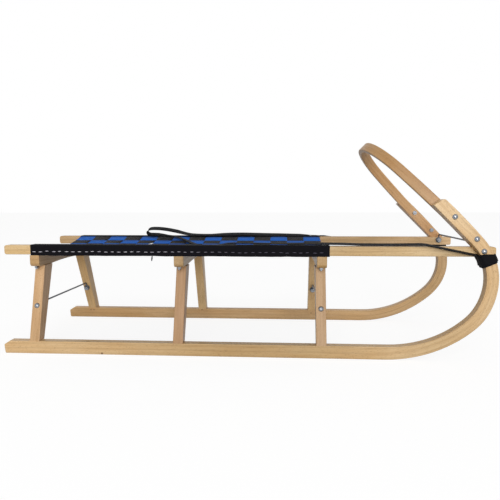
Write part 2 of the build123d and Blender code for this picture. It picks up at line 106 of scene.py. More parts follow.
# Studio: a white floor that keeps a faint shadow, an even world and two broad lamps on the camera's side
studio = {
    "floorReach": 12.0,
    "floorDrop": 0.0001,  # just under the soles
    "floorRoughness": 0.9,
    "floorGlow": 0.86,
    "floorShade": 0.25,
    "floorHex": "#F4F4F4",
    "bounceHex": "#8C8C8C",
    "worldStrength": 0.38,
    "key": {"place": (-0.5, -5.2, 3.8), "aim": (0, 0, 0.2), "size": 2.6, "watts": 62},
    "fill": {"place": (0.5, -6.0, 0.9), "aim": (0, 0, 0.2), "size": 2.2, "watts": 195},
}


def seenDirectly(tree):
    # 1 for rays that come from the camera, a mirror or glass, and 0 for those that only light the sled
    rays = addNode(tree, "LightPath").outputs
    seen = addNode(tree, "Math", {0: rays["Is Camera Ray"], 1: rays["Is Glossy Ray"]}, operation="MAXIMUM")
    seen = addNode(tree, "Math", {0: seen.outputs[0], 1: rays["Is Transmission Ray"]}, operation="MAXIMUM")
    return seen.outputs[0]


def addStudio(values):
    world = bpy.data.worlds.new("studioWorld")
    scene.world = world
    world.use_nodes = True
    tree = world.node_tree
    whiteSky = {"Value": seenDirectly(tree), "To Min": values["worldStrength"], "To Max": 1.0}
    strength = addNode(tree, "MapRange", whiteSky)
    sky = tree.nodes["Background"]
    sky.inputs["Color"].default_value = linear("#FFFFFF")
    tree.links.new(strength.outputs["Result"], sky.inputs["Strength"])

    floorMaterial, tree, surface = newMaterial("whitePaperSweep")  # matt white studio paper
    surface.inputs["Roughness"].default_value = values["floorRoughness"]
    seen = seenDirectly(tree)
    # greyer for the light it throws back, so that the undersides stay dark
    paperTones = {0: seen, 6: linear(values["bounceHex"]), 7: linear(values["floorHex"])}
    paper = addNode(tree, "Mix", paperTones, data_type="RGBA")
    tree.links.new(paper.outputs[2], surface.inputs["Base Color"])
    glowShare = 1 - values["floorShade"]
    light = {"Color": linear("#FFFFFF"), "Strength": values["floorGlow"] / glowShare}
    glow = addNode(tree, "Emission", light)
    share = addNode(tree, "Math", {0: seen, 1: glowShare}, operation="MULTIPLY")
    mixed = addNode(tree, "MixShader", {0: share.outputs[0], 1: surface.outputs[0], 2: glow.outputs[0]})
    tree.links.new(mixed.outputs[0], tree.nodes["Material Output"].inputs["Surface"])
    bm = bmesh.new()
    bmesh.ops.create_grid(bm, x_segments=1, y_segments=1, size=values["floorReach"])
    bmesh.ops.translate(bm, verts=bm.verts, vec=(0, 0, -values["floorDrop"]))
    mesh = bpy.data.meshes.new("studioFloor")
    bm.to_mesh(mesh)
    bm.free()
    mesh.materials.append(floorMaterial)
    floor = bpy.data.objects.new("studioFloor", mesh)
    scene.collection.objects.link(floor)

    for name in ("key", "fill"):
        lampValues = values[name]
        lamp = bpy.data.lights.new(name + "Lamp", "AREA")
        lamp.shape = "SQUARE"
        lamp.size = lampValues["size"]
        lamp.energy = lampValues["watts"]
        lampObject = bpy.data.objects.new(name + "Lamp", lamp)
        place, aim = Vector(lampValues["place"]), Vector(lampValues["aim"])
        lampObject.matrix_world = Matrix.LocRotScale(place, (aim - place).to_track_quat("-Z", "Y"), None)
        scene.collection.objects.link(lampObject)


addStudio(studio)
print("studio")

# Webbing: plain-woven flat tape, its ribs across the tape. The piece's UV map is in metres, along and across
webbing = {
    "ribSpacing": 0.0016,
    "threadSpacing": 0.0011,
    "ribHeight": 0.00025,
    "ribStrength": 0.6,
    "paintedRibShading": (0.15, 0.6),
    "wearReach": 1 / 34,  # dust and rubbing, in patches about 30 mm across
    "roughness": 0.78,
    "roughnessSwing": 0.12,
    "sheenRoughness": 0.4,
    "specular": 0.12,
}


def webbingMaterial(name, darkHex, lightHex, sheen):
    # polyester tape, woven: matt, with painted shade in the hollows and a painted highlight on each rib,
    # following the rib bump
    material, tree, surface = newMaterial(name)
    uv = addNode(tree, "UVMap")
    split = addNode(tree, "SeparateXYZ", {0: uv.outputs[0]})
    ribTurns, threadTurns = 2 * pi / webbing["ribSpacing"], 2 * pi / webbing["threadSpacing"]
    ribPhase = addNode(tree, "Math", {0: split.outputs[0], 1: ribTurns}, operation="MULTIPLY")
    rib = addNode(tree, "Math", {0: ribPhase.outputs[0]}, operation="SINE")
    threadPhase = addNode(tree, "Math", {0: split.outputs[1], 1: threadTurns}, operation="MULTIPLY")
    thread = addNode(tree, "Math", {0: threadPhase.outputs[0]}, operation="SINE")
    weave = addNode(tree, "Math", {0: rib.outputs[0], 1: thread.outputs[0]}, operation="MULTIPLY")
    place = addNode(tree, "TexCoord")
    wearScale = {"Vector": place.outputs["Object"], "Scale": 1 / webbing["wearReach"], "Detail": 3.0}
    wear = addNode(tree, "TexNoise", wearScale)
    # painted shade in the weave's hollows and painted highlight on its crests, darkened further by dust and
    # rubbing
    dark, pale = webbing["paintedRibShading"]
    paintedRibRange = {"Value": weave.outputs[0], "From Min": -1.0, "To Min": dark, "To Max": pale}
    paintedRibShade = addNode(tree, "MapRange", paintedRibRange)
    paintedRibShadeWorn = addNode(tree, "Math", {0: paintedRibShade.outputs[0], 1: wear.outputs[0]}, operation="MULTIPLY")
    tones = {0: paintedRibShadeWorn.outputs[0], 6: linear(darkHex), 7: linear(lightHex)}
    colour = addNode(tree, "Mix", tones, data_type="RGBA")
    tree.links.new(colour.outputs[2], surface.inputs["Base Color"])
    smooth = webbing["roughness"] - webbing["roughnessSwing"]
    matt = webbing["roughness"] + webbing["roughnessSwing"]
    rough = addNode(tree, "MapRange", {"Value": wear.outputs[0], "To Min": smooth, "To Max": matt})
    tree.links.new(rough.outputs[0], surface.inputs["Roughness"])
    ribs = {"Height": weave.outputs[0], "Strength": webbing["ribStrength"], "Distance": webbing["ribHeight"]}
    bump = addNode(tree, "Bump", ribs)
    tree.links.new(bump.outputs[0], surface.inputs["Normal"])
    surface.inputs["Sheen Weight"].default_value = sheen
    surface.inputs["Sheen Roughness"].default_value = webbing["sheenRoughness"]
    surface.inputs["Specular IOR Level"].default_value = webbing["specular"]
    return material


blackWebbing = webbingMaterial("polyesterWebbingBlack", "#060608", "#1A181E", 0.03)
blackTape = webbingMaterial("wovenSeatTapeBlack", "#0A090C", "#2A282E", 0.08)
blueTape = webbingMaterial("wovenSeatTapeBlue", "#1E62C6", "#428EF0", 0.05)
sleeveWebbing = webbingMaterial("seatSleeveWebbingBlack", "#050408", "#15131B", 0.02)


def ribbonMesh(name, centres, widths, tapeWidth, tapeThickness, material):
    # a flat tape laid along its centre line, widths giving the direction across it at each point
    across = 4
    bm = bmesh.new()
    bmesh.ops.create_grid(bm, x_segments=len(centres) - 1, y_segments=across, size=0.5)
    uvLayer = bm.loops.layers.uv.new("tape")
    run = [0.0]
    for before, after in zip(centres, centres[1:]):
        run.append(run[-1] + (after - before).length)
    steps = {}
    for vert in bm.verts:
        step = round((vert.co.x + 0.5) * (len(centres) - 1))
        share = vert.co.y
        steps[vert] = (run[step], (share + 0.5) * tapeWidth)
        vert.co = centres[step] + widths[step] * share * tapeWidth
    for face in bm.faces:
        for loop in face.loops:
            loop[uvLayer].uv = steps[loop.vert]
    bmesh.ops.recalc_face_normals(bm, faces=bm.faces)
    piece = finishPiece(name, bm, material)
    wall = piece.modifiers.new("tapeThickness", "SOLIDIFY")
    wall.thickness = tapeThickness
    wall.offset = 0
    return piece


# Pull strap: 20 mm flat webbing on the route of its solid, in metres
strap = {
    "width": 0.020,
    "thickness": 0.0013,
    "length": 1.74,
    # Each row: how far along the route, and the direction across the tape there
    "turns": (
        (0.00, (0, 0.98, 0.20)),
        (0.08, (0, 0.99, 0.14)),
        (0.20, (0, 0.99, 0.12)),
        (0.27, (0, 1, 0)),
        (0.50, (0, 1, 0)),
        (0.515, (0, 0.93, 0.36)),
        (0.584, (0, 0.93, 0.36)),
        (0.61, (0, 0.98, 0.2)),
        (0.641, (0, 0.98, 0.2)),
        (0.66, (0, 0.937, 0.35)),
        (0.75, (0, 0.937, 0.35)),
        (0.787, (0, 0.98, 0.2)),
        (0.815, (0, 0.97, -0.24)),
        (0.825, (0, 0.7, -0.7)),
        (0.837, (0, 0.35, -0.94)),
        (0.853, (0, 0.1, -1)),
        (1.00, (0, 0.1, -1)),
    ),
    "route": (
        (0.508, -0.1645, 0.2262),
        (0.484, -0.1645, 0.2312),
        (0.458, -0.1645, 0.2366),
        (0.432, -0.1635, 0.2422),
        (0.412, -0.1575, 0.2466),
        (0.395, -0.1505, 0.2492),
        (0.372, -0.1445, 0.2482),
        (0.322, -0.142, 0.2474),
        (0.268, -0.1428, 0.2475),
        (0.222, -0.1422, 0.249),
        (0.165, -0.1425, 0.2494),
        (0.105, -0.1415, 0.249),
        (0.050, -0.142, 0.2491),
        (0.005, -0.138, 0.2498),
        (-0.035, -0.116, 0.2475),
        (-0.068, -0.080, 0.2385),
        (-0.098, -0.040, 0.232),
        (-0.124, 0.002, 0.2302),
        (-0.148, 0.044, 0.2322),
        (-0.176, 0.082, 0.2386),
        (-0.208, 0.109, 0.2462),
        (-0.240, 0.119, 0.249),
        (-0.258, 0.122, 0.2493),
        (-0.274, 0.1245, 0.2496),
        (-0.2855, 0.127, 0.2499),
        (-0.2905, 0.1276, 0.2548),
        (-0.2905, 0.1282, 0.2604),
        (-0.2855, 0.1288, 0.2653),
        (-0.272, 0.1294, 0.2668),
        (-0.246, 0.130, 0.2654),
        (-0.211, 0.1305, 0.2594),
        (-0.178, 0.131, 0.2504),
        (-0.148, 0.1315, 0.2482),
        (-0.112, 0.1325, 0.2478),
        (-0.078, 0.134, 0.2490),
        (-0.046, 0.135, 0.2502),
        (-0.012, 0.136, 0.2502),
        (0.022, 0.137, 0.2494),
        (0.060, 0.1385, 0.2484),
        (0.105, 0.141, 0.2480),
        (0.142, 0.145, 0.2478),
        (0.168, 0.151, 0.2474),
        (0.188, 0.1572, 0.2448),
        (0.205, 0.1592, 0.2398),
        (0.225, 0.1598, 0.2340),
        (0.255, 0.1595, 0.2306),
        (0.305, 0.159, 0.2308),
        (0.360, 0.159, 0.2292),
        (0.415, 0.159, 0.2268),
        (0.462, 0.160, 0.2232),
        (0.490, 0.162, 0.2198),
        (0.5085, 0.1635, 0.2193),
    ),
}


def smoothRoute(name, points):
    curve = bpy.data.curves.new(name + "Line", "CURVE")
    curve.dimensions = "3D"
    curve.resolution_u = 8
    spline = curve.splines.new("NURBS")
    spline.points.add(len(points) - 1)
    for point, place in zip(spline.points, points):
        point.co = (*place, 1)
    spline.order_u = 3
    spline.use_endpoint_u = True
    line = bpy.data.objects.new(name + "Line", curve)
    scene.collection.objects.link(line)
    mesh = bpy.data.meshes.new_from_object(line)
    path = [vert.co.copy() for vert in mesh.vertices]
    bpy.data.objects.remove(line)
    bpy.data.curves.remove(curve)
    bpy.data.meshes.remove(mesh)
    return path


def acrossAt(turns, share):
    for (startShare, start), (endShare, end) in zip(turns, turns[1:]):
        if share <= endShare:
            blend = (share - startShare) / (endShare - startShare)
            return Vector(start).lerp(Vector(end), blend)
    return Vector(turns[-1][1])


def makeStrap(values):
    path = smoothRoute("pullStrap", values["route"])
    run = [0.0]
    for before, after in zip(path, path[1:]):
        run.append(run[-1] + (after - before).length)
    widths = []
    for i, place in enumerate(path):
        ahead = path[min(i + 1, len(path) - 1)] - path[max(i - 1, 0)]
        ahead.normalize()
        across = acrossAt(values["turns"], run[i] / run[-1])
        across -= ahead * across.dot(ahead)
        widths.append(across.normalized())
    piece = ribbonMesh("pullStrap", path, widths, values["width"], values["thickness"], blackWebbing)
    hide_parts("pull_strap")
    return piece, path, run[-1]


strapPiece, strapPath, strapRun = makeStrap(strap)
print("pull strap", round(strapRun, 3))

# Strap wraps: a band round each horn just under the rail, its edges on lines from the middle of the curl
wrap = {
    "curl": (0.4155, 0.1726),
    "backRadius": 0.1035,
    "frontRadius": 0.1356,
    "backTurns": (105.4, 122.8),
    "frontTurns": (107.4, 115.2),
    "outY": 0.1755,
    "inY": 0.1515,
    "thickness": 0.0012,
    "corner": 0.1,
    "faceLength": 0.023,  # how much tape lies on each side of the horn, for the weave
    "bandSteps": 8,
    "layers": 2,
    "layerGap": 0.0013,
    "layerShare": 0.82,  # each turn covers this much of the band's height
    "layerRise": 0.2,  # the second turn lies this much higher
    "layerSlant": 0.05,
    "unevenness": 0.0006,
}


def wrapPlace(values, around, up, lift):
    # around runs from 0 to 4 through the band's outer, front, inner and back faces
    side, share = int(around) % 4, around % 1.0
    fromBack = (share, 1.0, 1 - share, 0.0)[side]
    outward = (1.0, 1 - share, 0.0, share)[side]
    backTurn = values["backTurns"][0] + (values["backTurns"][1] - values["backTurns"][0]) * up
    frontTurn = values["frontTurns"][0] + (values["frontTurns"][1] - values["frontTurns"][0]) * up
    turn = radians(backTurn + (frontTurn - backTurn) * fromBack)
    back, front = values["backRadius"] - lift, values["frontRadius"] + lift
    radius = back + (front - back) * fromBack
    inside, outside = values["inY"] - lift, values["outY"] + lift
    depth = inside + (outside - inside) * outward
    return Vector((values["curl"][0] + radius * sin(turn), depth, values["curl"][1] - radius * cos(turn)))


def makeWrap(name, side, values):
    stops = []
    for face in range(4):
        for share in (values["corner"], 0.3, 0.5, 0.7, 1 - values["corner"]):
            stops.append(face + share)
    bm = bmesh.new()
    uvLayer = bm.loops.layers.uv.new("tape")
    for layer in range(values["layers"]):
        made = bmesh.ops.create_grid(bm, x_segments=len(stops), y_segments=values["bandSteps"], size=0.5)
        spots = {}
        for vert in made["verts"]:
            step = round((vert.co.x + 0.5) * len(stops))
            up = vert.co.y + 0.5
            around = stops[step % len(stops)] + (4 if step == len(stops) else 0)
            # the second turn of the band slants more
            rise = layer * (values["layerRise"] - values["layerSlant"] * (around % 4) / 4)
            higher = min(up * values["layerShare"] + rise, 1.0)
            place = wrapPlace(values, around, higher, layer * values["layerGap"])
            pull = values["unevenness"] * noise.noise(Vector((around * 1.7, up * 3, layer * 5.0)))
            place += Vector((pull, pull, pull))
            vert.co = Vector((place.x, side * place.y, place.z))
            spots[vert] = (around * values["faceLength"], up * strap["width"])
        for face in bm.faces:
            for loop in face.loops:
                if loop.vert in spots:
                    loop[uvLayer].uv = spots[loop.vert]
    bmesh.ops.remove_doubles(bm, verts=bm.verts, dist=0.00002)
    bmesh.ops.recalc_face_normals(bm, faces=bm.faces)
    piece = finishPiece(name, bm, blackWebbing)
    wall = piece.modifiers.new("tapeThickness", "SOLIDIFY")
    wall.thickness = values["thickness"]
    wall.offset = 0
    return piece


for sideName, side in (("left", 1), ("right", -1)):
    band = makeWrap("strapWrap_" + sideName, side, wrap)
    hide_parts("strap_wrap_" + sideName)
print("strap wraps")

# Seat panel: tapes in plain weave, blue from rear to front and black from side to side
seat = {
    "rear": -0.487,
    "front": 0.193,
    "edgeY": 0.1295,
    "edgeZ": 0.2427,
    "sag": 0.0185,
    "lengthTapes": 8,
    "crossTapes": 15,
    "gap": 0.001,
    "thickness": 0.0009,
    "weave": 0.0006,
    "steepness": 4.0,
    "stepsPerCrossing": 8,
}
cellX = (seat["front"] - seat["rear"]) / seat["crossTapes"]
cellY = 2 * seat["edgeY"] / seat["lengthTapes"]


def panelHeight(y):
    return seat["edgeZ"] - seat["sag"] * (1 - (y / seat["edgeY"]) ** 2)


def makeTapes(name, alongX, material):
    count, crossings = ("lengthTapes", "crossTapes") if alongX else ("crossTapes", "lengthTapes")
    cellAlong, cellAcross = (cellX, cellY) if alongX else (cellY, cellX)
    startAlong, startAcross = (seat["rear"], -seat["edgeY"]) if alongX else (-seat["edgeY"], seat["rear"])
    steps = seat[crossings] * seat["stepsPerCrossing"]
    bm = bmesh.new()
    uvLayer = bm.loops.layers.uv.new("tape")
    for tape in range(seat[count]):
        made = bmesh.ops.create_grid(bm, x_segments=steps, y_segments=3, size=0.5)
        spots = {}
        for vert in made["verts"]:
            along = (vert.co.x + 0.5) * seat[crossings] * cellAlong
            across = (tape + 0.5) * cellAcross + vert.co.y * (cellAcross - seat["gap"])
            swing = cos(pi * (along / cellAlong - 0.5)) * seat["steepness"]
            over = max(-1.0, min(1.0, swing)) * (1 if tape % 2 else -1) * (1 if alongX else -1)
            spot = (startAlong + along, startAcross + across)
            x, y = spot if alongX else (spot[1], spot[0])
            vert.co = Vector((x, y, panelHeight(y) + over * seat["weave"]))
            spots[vert] = (along, across)
        for vert in made["verts"]:
            for loop in vert.link_loops:
                loop[uvLayer].uv = spots[vert]
    bmesh.ops.recalc_face_normals(bm, faces=bm.faces)
    piece = finishPiece(name, bm, material)
    wall = piece.modifiers.new("tapeThickness", "SOLIDIFY")
    wall.thickness = seat["thickness"]
    wall.offset = 0
    return piece


lengthTapes = makeTapes("seatTapesLengthways", True, blueTape)
crossTapes = makeTapes("seatTapesCrossways", False, blackTape)
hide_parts("seat_panel")
seatLength = seat["front"] - seat["rear"]
print("seat panel")

# Sleeves: webbing folded round each rail and sewn to itself, its lower edge a little loose
sleeve = {
    "railMid": 0.142,
    "railTop": 0.244,
    "railHeight": 0.0214,
    "railWidth": 0.022,
    "standOff": 0.0009,
    "thickness": 0.0011,
    "corner": 0.0016,
    "hang": 0.0012,
    "puff": 0.0004,
    "steps": 136,
    "stitchHeight": 0.2298,
    "stitchPitch": 0.0152,
    "stitchLength": 0.0098,
    "stitchThick": 0.0012,
    "stitchWander": 0.003,
    "stitchRise": 0.0014,
    "stitchLengthSwing": 0.35,
    "stitchTilt": 0.12,
}


def sleeveOutline():
    # the loop round a rail as (out, up) from its top middle, starting at its inner upper corner
    halfWidth = sleeve["railWidth"] / 2 + sleeve["standOff"]
    top = sleeve["standOff"]
    bottom = -sleeve["railHeight"] - sleeve["standOff"]
    corner = sleeve["corner"]
    outline = []
    for cornerOut, cornerUp, startTurn in (
        (-halfWidth + corner, top - corner, 180),
        (halfWidth - corner, top - corner, 90),
        (halfWidth - corner, bottom + corner, 0),
        (-halfWidth + corner, bottom + corner, -90),
    ):
        for step in range(4):
            turn = radians(startTurn - step * 30)
            outline.append((cornerOut + corner * cos(turn), cornerUp + corner * sin(turn)))
    return outline


def makeSleeve(name, side):
    outline = sleeveOutline()
    # points along the long sides, so the webbing can ripple between the corners
    loop = []
    for (out, up), (nextOut, nextUp) in zip(outline, outline[1:] + outline[:1]):
        loop.append((out, up))
        if hypot(nextOut - out, nextUp - up) > 0.005:
            for share in (0.25, 0.5, 0.75):
                loop.append((out + (nextOut - out) * share, up + (nextUp - up) * share))
    around = [0.0]
    for (out, up), (nextOut, nextUp) in zip(loop, loop[1:] + loop[:1]):
        around.append(around[-1] + hypot(nextOut - out, nextUp - up))
    bm = bmesh.new()
    uvLayer = bm.loops.layers.uv.new("tape")
    bmesh.ops.create_grid(bm, x_segments=sleeve["steps"], y_segments=len(loop), size=0.5)
    spots = {}
    for vert in bm.verts:
        share = vert.co.x + 0.5
        step = round((vert.co.y + 0.5) * len(loop))
        out, up = loop[step % len(loop)]
        x = seat["rear"] + share * seatLength
        low = max(0.0, min(1.0, -up / sleeve["railHeight"]))
        # slow waves about 45 mm long and quick ones about 15 mm long in the lower edge
        wave = noise.noise(Vector((x * 22, side * 3.0, 0.5))) * 0.5
        wave += noise.noise(Vector((x * 70, side * 7.0, 1.5))) * 0.25
        drop = sleeve["hang"] * (0.7 + wave) * low * low
        puff = 0.0
        if abs(out) > sleeve["railWidth"] / 2:
            puff = sleeve["puff"] * noise.noise(Vector((x * 40, up * 90, side * 5.0)))
        outward = sleeve["railMid"] + out + (puff if out > 0 else -puff)
        vert.co = Vector((x, side * outward, sleeve["railTop"] + up - drop))
        spots[vert] = (x, around[step])
    for face in bm.faces:
        for corner in face.loops:
            corner[uvLayer].uv = spots[corner.vert]
    bmesh.ops.remove_doubles(bm, verts=bm.verts, dist=0.00001)
    bmesh.ops.recalc_face_normals(bm, faces=bm.faces)
    piece = finishPiece(name, bm, sleeveWebbing)
    wall = piece.modifiers.new("webbingThickness", "SOLIDIFY")
    wall.thickness = sleeve["thickness"]
    wall.offset = 0
    return piece, around[-1]


# sewing thread: three-ply polyester, pale at the rear and darker towards the front
threadTones = {
    "rearHex": "#FFFFFF",
    "patchHex": "#9C8FA8",
    "frontHex": "#4A4654",
    "paleUntil": -0.32,
    "darkFrom": 0.02,
}
threadMaterial, threadTree, threadSurface = newMaterial("polyesterThread")
threadPlace = addNode(threadTree, "TexCoord")
threadSplit = addNode(threadTree, "SeparateXYZ", {0: threadPlace.outputs["Object"]})
threadSpan = {
    "Value": threadSplit.outputs[0],
    "From Min": threadTones["paleUntil"],
    "From Max": threadTones["darkFrom"],
}
threadDarkening = addNode(threadTree, "MapRange", threadSpan, interpolation_type="SMOOTHSTEP")
# soiled in patches about 17 mm long
threadPatch = addNode(
    threadTree, "TexNoise", {"Vector": threadPlace.outputs["Object"], "Scale": 60.0, "Detail": 2.0}
)
threadPaleTone = addNode(
    threadTree,
    "Mix",
    {0: threadPatch.outputs[0], 6: linear(threadTones["rearHex"]), 7: linear(threadTones["patchHex"])},
    data_type="RGBA",
)
threadColour = addNode(
    threadTree,
    "Mix",
    {0: threadDarkening.outputs[0], 6: threadPaleTone.outputs[2], 7: linear(threadTones["frontHex"])},
    data_type="RGBA",
)
threadTree.links.new(threadColour.outputs[2], threadSurface.inputs["Base Color"])
# the twist of the plies, drawn about twice as coarse as real so that it shows
threadTwist = addNode(
    threadTree,
    "TexWave",
    {"Vector": threadPlace.outputs["Object"], "Scale": 160.0, "Distortion": 1.0},
    bands_direction="DIAGONAL",
)
threadRelief = {"Height": threadTwist.outputs[1], "Strength": 0.4, "Distance": 0.0002}
threadBump = addNode(threadTree, "Bump", threadRelief)
threadTree.links.new(threadBump.outputs[0], threadSurface.inputs["Normal"])
threadSurface.inputs["Roughness"].default_value = 0.6


def makeStitches(name, side):
    bm = bmesh.new()
    count = int(seatLength / sleeve["stitchPitch"])
    faceY = sleeve["railMid"] + sleeve["railWidth"] / 2 + sleeve["standOff"] + sleeve["thickness"] / 2
    for i in range(count):
        jitter = noise.noise(Vector((i * 3.1, side * 2.0, 0.3)))
        longer = sleeve["stitchLengthSwing"] * noise.noise(Vector((i * 1.7, side * 4.0, 2.3)))
        length = sleeve["stitchLength"] * (1 + longer)
        x = seat["rear"] + (i + 0.6) * sleeve["stitchPitch"] + jitter * sleeve["stitchWander"]
        z = sleeve["stitchHeight"] + sleeve["stitchRise"] * noise.noise(Vector((i * 2.3, side * 6.0, 4.3)))
        made = bmesh.ops.create_uvsphere(bm, u_segments=6, v_segments=5, radius=0.5)
        shape = Matrix.Diagonal((length, sleeve["stitchThick"], sleeve["stitchThick"] * 1.2, 1))
        tilt = Matrix.Rotation(jitter * sleeve["stitchTilt"], 4, "Y")
        matrix = Matrix.Translation((x, side * faceY, z)) @ tilt @ shape
        bmesh.ops.transform(bm, matrix=matrix, verts=made["verts"])
    piece = finishPiece(name, bm, threadMaterial)
    return piece


for sideName, side in (("left", 1), ("right", -1)):
    cover, girth = makeSleeve("seatSleeve_" + sideName, side)
    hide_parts("seat_sleeve_" + sideName)
    stitches = makeStitches("seatStitches_" + sideName, side)
print("seat sleeves", round(girth, 4))

# Loose ends of sewing thread on the right-hand sleeve: a pale tuft at the top and a dark end hanging below
looseThread = {
    "tuft": (-0.2125, -0.1315, 0.2462),
    "tuftStrands": ((0.0, 0.0, 0.0105), (0.0022, 0.0012, 0.0075), (-0.0028, -0.0008, 0.0062)),
    "end": (-0.2048, -0.1546, 0.2155),
    "endLength": 0.0135,
    "endTurn": 0.12,
    "spread": 0.3,  # how far the tuft's strands turn from each other, in radians
    "thick": 0.0016,
}


def makeStrand(bm, place, shape, turn):
    made = bmesh.ops.create_uvsphere(bm, u_segments=8, v_segments=6, radius=0.5)
    matrix = Matrix.Translation(place) @ Matrix.Rotation(turn, 4, "Y") @ Matrix.Diagonal((*shape, 1))
    bmesh.ops.transform(bm, matrix=matrix, verts=made["verts"])


tuftBm = bmesh.new()
thick = looseThread["thick"]
for turn, (shiftX, shiftZ, length) in enumerate(looseThread["tuftStrands"]):
    tuftPlace = Vector(looseThread["tuft"]) + Vector((shiftX, 0, shiftZ))
    makeStrand(tuftBm, tuftPlace, (length, thick, thick), looseThread["spread"] * (turn - 1))
# near-white thread where it comes out of the seam
tuftMaterial, tuftTree, tuftSurface = newMaterial("polyesterThreadWhite")
tuftSurface.inputs["Base Color"].default_value = linear("#E4E8EE")
tuftSurface.inputs["Roughness"].default_value = 0.7
tuft = finishPiece("threadTuft", tuftBm, tuftMaterial)
endBm = bmesh.new()
endShape = (2 * thick, thick, looseThread["endLength"])
makeStrand(endBm, looseThread["end"], endShape, looseThread["endTurn"])
threadEnd = finishPiece("threadEnd", endBm, blackWebbing)

# Beech: the grain runs along each piece, bent with it where it is bent
runnerBend = {
    "curl": (0.4155, 0.1726),
    "curlRadius": 0.1345,
    "bendRadius": 0.290,
    "bendTurn": 41,
    "hornTurn": 135,
    "middle": 0.0128,
}
bowBend = {
    "foot": (0.4999, 0.2629),
    "lean": 45.2,
    "outY": 0.153,
    "reach": 0.303,
    "firstRadius": 0.120,
    "firstTurn": 9,
    "sideRadius": 0.790,
    "topRadius": 0.128,
    "middle": 0.0055,
}
trestle = {"splay": 18.0}


def bentGrain(tree, u, v, arcs, middle):
    # each arc: middle u and v, outer radius, start turn in radians, and the length run before it
    along, depth = u, v
    for middleU, middleV, radius, startTurn, startRun in arcs:
        du = addNode(tree, "Math", {0: u, 1: middleU}, operation="SUBTRACT").outputs[0]
        dv = addNode(tree, "Math", {0: middleV, 1: v}, operation="SUBTRACT").outputs[0]
        turn = addNode(tree, "Math", {0: du, 1: dv}, operation="ARCTAN2").outputs[0]
        offset = addNode(tree, "CombineXYZ", {0: du, 1: dv}).outputs[0]
        distance = addNode(tree, "VectorMath", {0: offset}, operation="LENGTH").outputs["Value"]
        inside = addNode(tree, "Math", {0: turn, 1: startTurn}, operation="GREATER_THAN").outputs[0]
        arcMiddle = radius - middle
        runLine = {0: turn, 1: arcMiddle, 2: startRun - startTurn * arcMiddle}
        arcRun = addNode(tree, "Math", runLine, operation="MULTIPLY_ADD").outputs[0]
        arcDepth = addNode(tree, "Math", {0: radius, 1: distance}, operation="SUBTRACT").outputs[0]
        along = addNode(tree, "Mix", {0: inside, 2: along, 3: arcRun}, data_type="FLOAT").outputs[0]
        depth = addNode(tree, "Mix", {0: inside, 2: depth, 3: arcDepth}, data_type="FLOAT").outputs[0]
    return along, depth


def runnerGrain(tree, x, y, z):
    b = runnerBend
    bendTurn, hornTurn = radians(b["bendTurn"]), radians(b["hornTurn"])
    bendX = b["curl"][0] - (b["bendRadius"] - b["curlRadius"]) * sin(bendTurn)
    curlRun = bendX + bendTurn * (b["bendRadius"] - b["middle"])
    arcs = (
        (bendX, b["bendRadius"], b["bendRadius"], 0.0, bendX),
        (b["curl"][0], b["curl"][1], b["curlRadius"], bendTurn, curlRun),
    )
    along, depth = bentGrain(tree, x, z, arcs, b["middle"])
    du = addNode(tree, "Math", {0: x, 1: b["curl"][0]}, operation="SUBTRACT").outputs[0]
    dv = addNode(tree, "Math", {0: z, 1: b["curl"][1]}, operation="SUBTRACT").outputs[0]
    offset = addNode(tree, "CombineXYZ", {0: du, 1: dv}).outputs[0]
    hornUp, hornOut = (cos(hornTurn), sin(hornTurn), 0), (sin(hornTurn), -cos(hornTurn), 0)
    up = addNode(tree, "VectorMath", {0: offset, 1: hornUp}, operation="DOT_PRODUCT").outputs["Value"]
    out = addNode(tree, "VectorMath", {0: offset, 1: hornOut}, operation="DOT_PRODUCT").outputs["Value"]
    above = addNode(tree, "Math", {0: dv, 1: 0.0}, operation="GREATER_THAN").outputs[0]
    past = addNode(tree, "Math", {0: up, 1: 0.0}, operation="GREATER_THAN").outputs[0]
    inHorn = addNode(tree, "Math", {0: above, 1: past}, operation="MULTIPLY").outputs[0]
    hornRun = curlRun + (hornTurn - bendTurn) * (b["curlRadius"] - b["middle"])
    upRun = addNode(tree, "Math", {0: up, 1: hornRun}, operation="ADD").outputs[0]
    hornDepth = addNode(tree, "Math", {0: b["curlRadius"], 1: out}, operation="SUBTRACT").outputs[0]
    along = addNode(tree, "Mix", {0: inHorn, 2: along, 3: upRun}, data_type="FLOAT").outputs[0]
    depth = addNode(tree, "Mix", {0: inHorn, 2: depth, 3: hornDepth}, data_type="FLOAT").outputs[0]
    return along, depth, y


